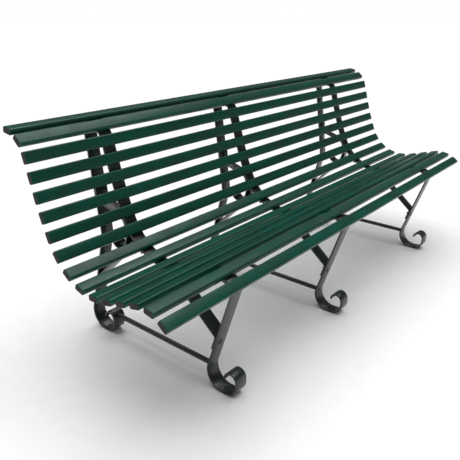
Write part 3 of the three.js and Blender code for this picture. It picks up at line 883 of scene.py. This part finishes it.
# ---- fasteners ----
def model_hexagon(name, base, height):
    """A hexagonal head or nut standing on Z = base, its crown corners chamfered."""
    hexagon = started(name, bpy.ops.mesh.primitive_cylinder_add, vertices=6,
                      radius=HEXAGON_CORNERS / 2 * MM, depth=height * MM,
                      location=(0, 0, (base + height / 2) * MM))
    bpy.ops.object.transform_apply(location=True)
    begin_edit()
    choose("faces", lambda face: abs(face.normal.z) > SQUARE_ON)
    bpy.ops.mesh.inset(thickness=HEXAGON_CHAMFER * MM, depth=0)
    rim = (HEXAGON_CORNERS / 2 - 0.4) * MM
    choose("verts", lambda vert: vert.co.xy.length > rim and vert.co.z > (base + height / 2) * MM)
    bpy.ops.transform.translate(value=(0, 0, -HEXAGON_CHAMFER_DROP * MM))
    end_edit()
    eased(hexagon, HEXAGON_EDGE, EASE_STEPS)
    return hexagon


def model_washer(name, base):
    rim, bore, face = WASHER_DIAMETER / 2, BOLT_DIAMETER / 2, base + WASHER_THICKNESS
    inner = rim - WASHER_EDGE
    return model_turned(name, [
        (base, bore), (base, inner), (base + WASHER_EDGE, rim), (face - WASHER_EDGE, rim),
        (face, inner), (face, bore), (base, bore),
    ])


def model_shank(name, start, end, threaded):
    """A shank from start up to end, its threaded lower stretch grooved."""
    core, crest = BOLT_DIAMETER / 2 - THREAD_DEPTH, BOLT_DIAMETER / 2
    profile = [(start, 0), (start, core)]
    for turn in range(int(threaded / THREAD_PITCH)):
        root = start + THREAD_LEAD + turn * THREAD_PITCH
        profile += [(root, core), (root + THREAD_PITCH / 2, crest)]
    return model_turned(name, profile + [(start + threaded + 1, crest), (end, crest), (end, 0)])


def finished_fastener(parts, name):
    fastener = join(parts, name)
    smooth(fastener)
    fastener.data.materials.append(BOLT_PAINT)
    return fastener


def model_screw():
    """A coach screw with its washer; Z = 0 is the washer's seat, the shank points up."""
    head_face = -WASHER_THICKNESS
    head = model_hexagon("screw_head", head_face - SCREW_HEAD_HEIGHT, SCREW_HEAD_HEIGHT)
    head.data.transform(Matrix.Translation((0, 0, (2 * head_face - SCREW_HEAD_HEIGHT) * MM))
                        @ Matrix.Diagonal((1, 1, -1, 1)))
    head.data.flip_normals()
    washer = model_washer("screw_washer", head_face)
    shank = model_shank("screw_shank", head_face - 0.5, LAP + SCREW_BITE, 0)
    return finished_fastener([head, washer, shank], "coach_screw")


def model_bolt():
    """A cup-headed bolt through two lapped irons, with its washer and nut; Z = 0 is the
    head's seat, and the shank points down."""
    seat = -GRIP - 2 * JOINT_GAP
    rim = CUP_HEAD_DIAMETER / 2
    dome_height = CUP_HEAD_HEIGHT - CUP_HEAD_RIM
    head = model_turned("cup_head", [(0, 0), (0, rim)] + dome(CUP_HEAD_RIM, rim, dome_height))
    nut = model_hexagon("bolt_nut", 0, NUT_HEIGHT)
    nut.data.transform(Matrix.Translation((0, 0, (seat - WASHER_THICKNESS) * MM))
                       @ Matrix.Diagonal((1, 1, -1, 1)))
    nut.data.flip_normals()
    washer = model_washer("nut_washer", seat - WASHER_THICKNESS)
    end = seat - WASHER_THICKNESS - NUT_HEIGHT - THREAD_END
    shank = model_shank("bolt_shank", end, 0.2, THREAD_END + 1)
    return finished_fastener([head, nut, washer, shank], "joint_bolt")


def fastener_place(side, point, heading, spanner_turn):
    """Z of the fastener along the heading, left turned where the spanner stopped."""
    stand = Matrix.Rotation(math.radians(heading - 90), 4, "X")
    turn = Matrix.Rotation(math.radians(spanner_turn), 4, "Z")
    return at_support(SUPPORT_X[side]) @ Matrix.Translation(in_frame(point)) @ stand @ turn


SPANNER_TURN = 37


def fit_screws():
    """A coach screw holds each slat; four pass through a tab as well as the bar."""
    screw = model_screw()
    screw_nodes = {
        JOINT_SLAT["front_roll"]: "front_screw",
        JOINT_SLAT["front_brace"]: "front_brace_top_screw",
        JOINT_SLAT["rear_brace"]: "rear_brace_top_screw",
        JOINT_SLAT["crest"]: "crest_screw",
    }
    for order, side in enumerate(SIDES):
        for number in range(SLAT_COUNT):
            distance = number * SLAT_PITCH
            node = screw_nodes.get(number)
            seat = GRIP + CURVED_SEAT_GAP if node else IRON_THICKNESS + CURVED_SEAT_GAP / 2
            point = below(distance, BAR_FACE_DEPTH + seat)
            turn = (SPANNER_TURN * (number + 5 * order)) % 60
            place = fastener_place(side, point, line_heading(distance) + 90, turn)
            if node:
                name = f"{side}_{node}"
                copied(screw, f"coach_{name}", place, "painted_bolts", name)
            else:
                copied(screw, f"{side}_slat_screw_{number}", place, "painted_bolts")
    used_up(screw)


def fit_bolts():
    bolt = model_bolt()
    joints = {
        "front_brace_foot_bolt": brace_foot_joint(
            LEG_FOOT, LEG_HEADING, FRONT_BRACE_FOOT_HEIGHT, -90),
        "rear_brace_foot_bolt": brace_foot_joint(
            REAR_FOOT, REAR_HEADING, REAR_BRACE_FOOT_HEIGHT, 90),
        "scroll_stay_bolt": scroll_stay_joint(),
    }
    for order, side in enumerate(SIDES):
        for number, (name, (point, heading)) in enumerate(joints.items()):
            out = point + along(heading) * JOINT_GAP
            place = fastener_place(side, out, heading, SPANNER_TURN * (number + order) % 60)
            copied(bolt, f"hexagon_{side}_{name}", place, "painted_bolts", f"{side}_{name}")
        point, heading = bar_joint("scroll")
        out = point + along(heading) * JOINT_GAP
        place = fastener_place(side, out, heading, SPANNER_TURN * order)
        copied(bolt, f"{side}_scroll_bar_bolt", place, "painted_bolts")
    used_up(bolt)


# ---- studio ----
CAMERA_PLACE = (-1.8775, -1.2264, 1.1547)
CAMERA_AZIMUTH = -49.99
CAMERA_ELEVATION = 21.1
CAMERA_LENS = 43.28
CAMERA_SHIFT = (0.0133, -0.023)
CAMERA_SENSOR = 36
FLOOR_SIZE = 80
SUN_SPREAD = 70
ROOM_STRENGTH = 0.12


def set_camera():
    data = bpy.data.cameras.new("view")
    data.lens, data.sensor_width = CAMERA_LENS, CAMERA_SENSOR
    data.shift_x, data.shift_y = CAMERA_SHIFT
    camera = bpy.data.objects.new("view", data)
    bpy.context.collection.objects.link(camera)
    azimuth, elevation = math.radians(CAMERA_AZIMUTH), math.radians(CAMERA_ELEVATION)
    away = Vector((math.sin(azimuth) * math.cos(elevation),
                   -math.cos(azimuth) * math.cos(elevation), math.sin(elevation)))
    camera.location = CAMERA_PLACE
    camera.rotation_euler = (-away).to_track_quat("-Z", "Y").to_euler()
    bpy.context.scene.camera = camera


def soft_sun(name, toward, spread, strength):
    """A wide, even light from far off, like a lit ceiling of the given spread."""
    data = bpy.data.lights.new(name, "SUN")
    data.angle, data.energy = math.radians(spread), strength
    lamp = bpy.data.objects.new(name, data)
    bpy.context.collection.objects.link(lamp)
    lamp.rotation_euler = Vector(toward).to_track_quat("-Z", "Y").to_euler()


def set_backdrop():
    """A dim room around the bench in front of a white backdrop."""
    world = bpy.data.worlds.new("studio")
    world.use_nodes = True
    tree = world.node_tree
    room, output = tree.nodes["Background"], tree.nodes["World Output"]
    room.inputs["Color"].default_value = colour("#ffffff")
    room.inputs["Strength"].default_value = ROOM_STRENGTH
    white = add(tree, "ShaderNodeBackground", {"Color": colour("#ffffff"), "Strength": 1.0})
    seen = add(tree, "ShaderNodeLightPath").outputs["Is Camera Ray"]
    choice = add(tree, "ShaderNodeMixShader", {
        0: seen, 1: room.outputs["Background"], 2: white.outputs["Background"]})
    tree.links.new(choice.outputs["Shader"], output.inputs["Surface"])
    bpy.context.scene.world = world


def set_studio():
    floor = started("studio_floor", bpy.ops.mesh.primitive_plane_add, size=FLOOR_SIZE)
    floor.data.materials.append(matt_studio_floor())
    set_backdrop()
    soft_sun("ceiling", (-0.15, -0.1, -1), SUN_SPREAD, 3.0)
    soft_sun("window", (0.4, 0.9, -0.5), SUN_SPREAD, 0.3)
    bpy.context.scene.view_settings.view_transform = "Standard"


set_camera()
lay_slats()
fit_irons()
fit_stretchers()
fit_screws()
fit_bolts()
set_studio()
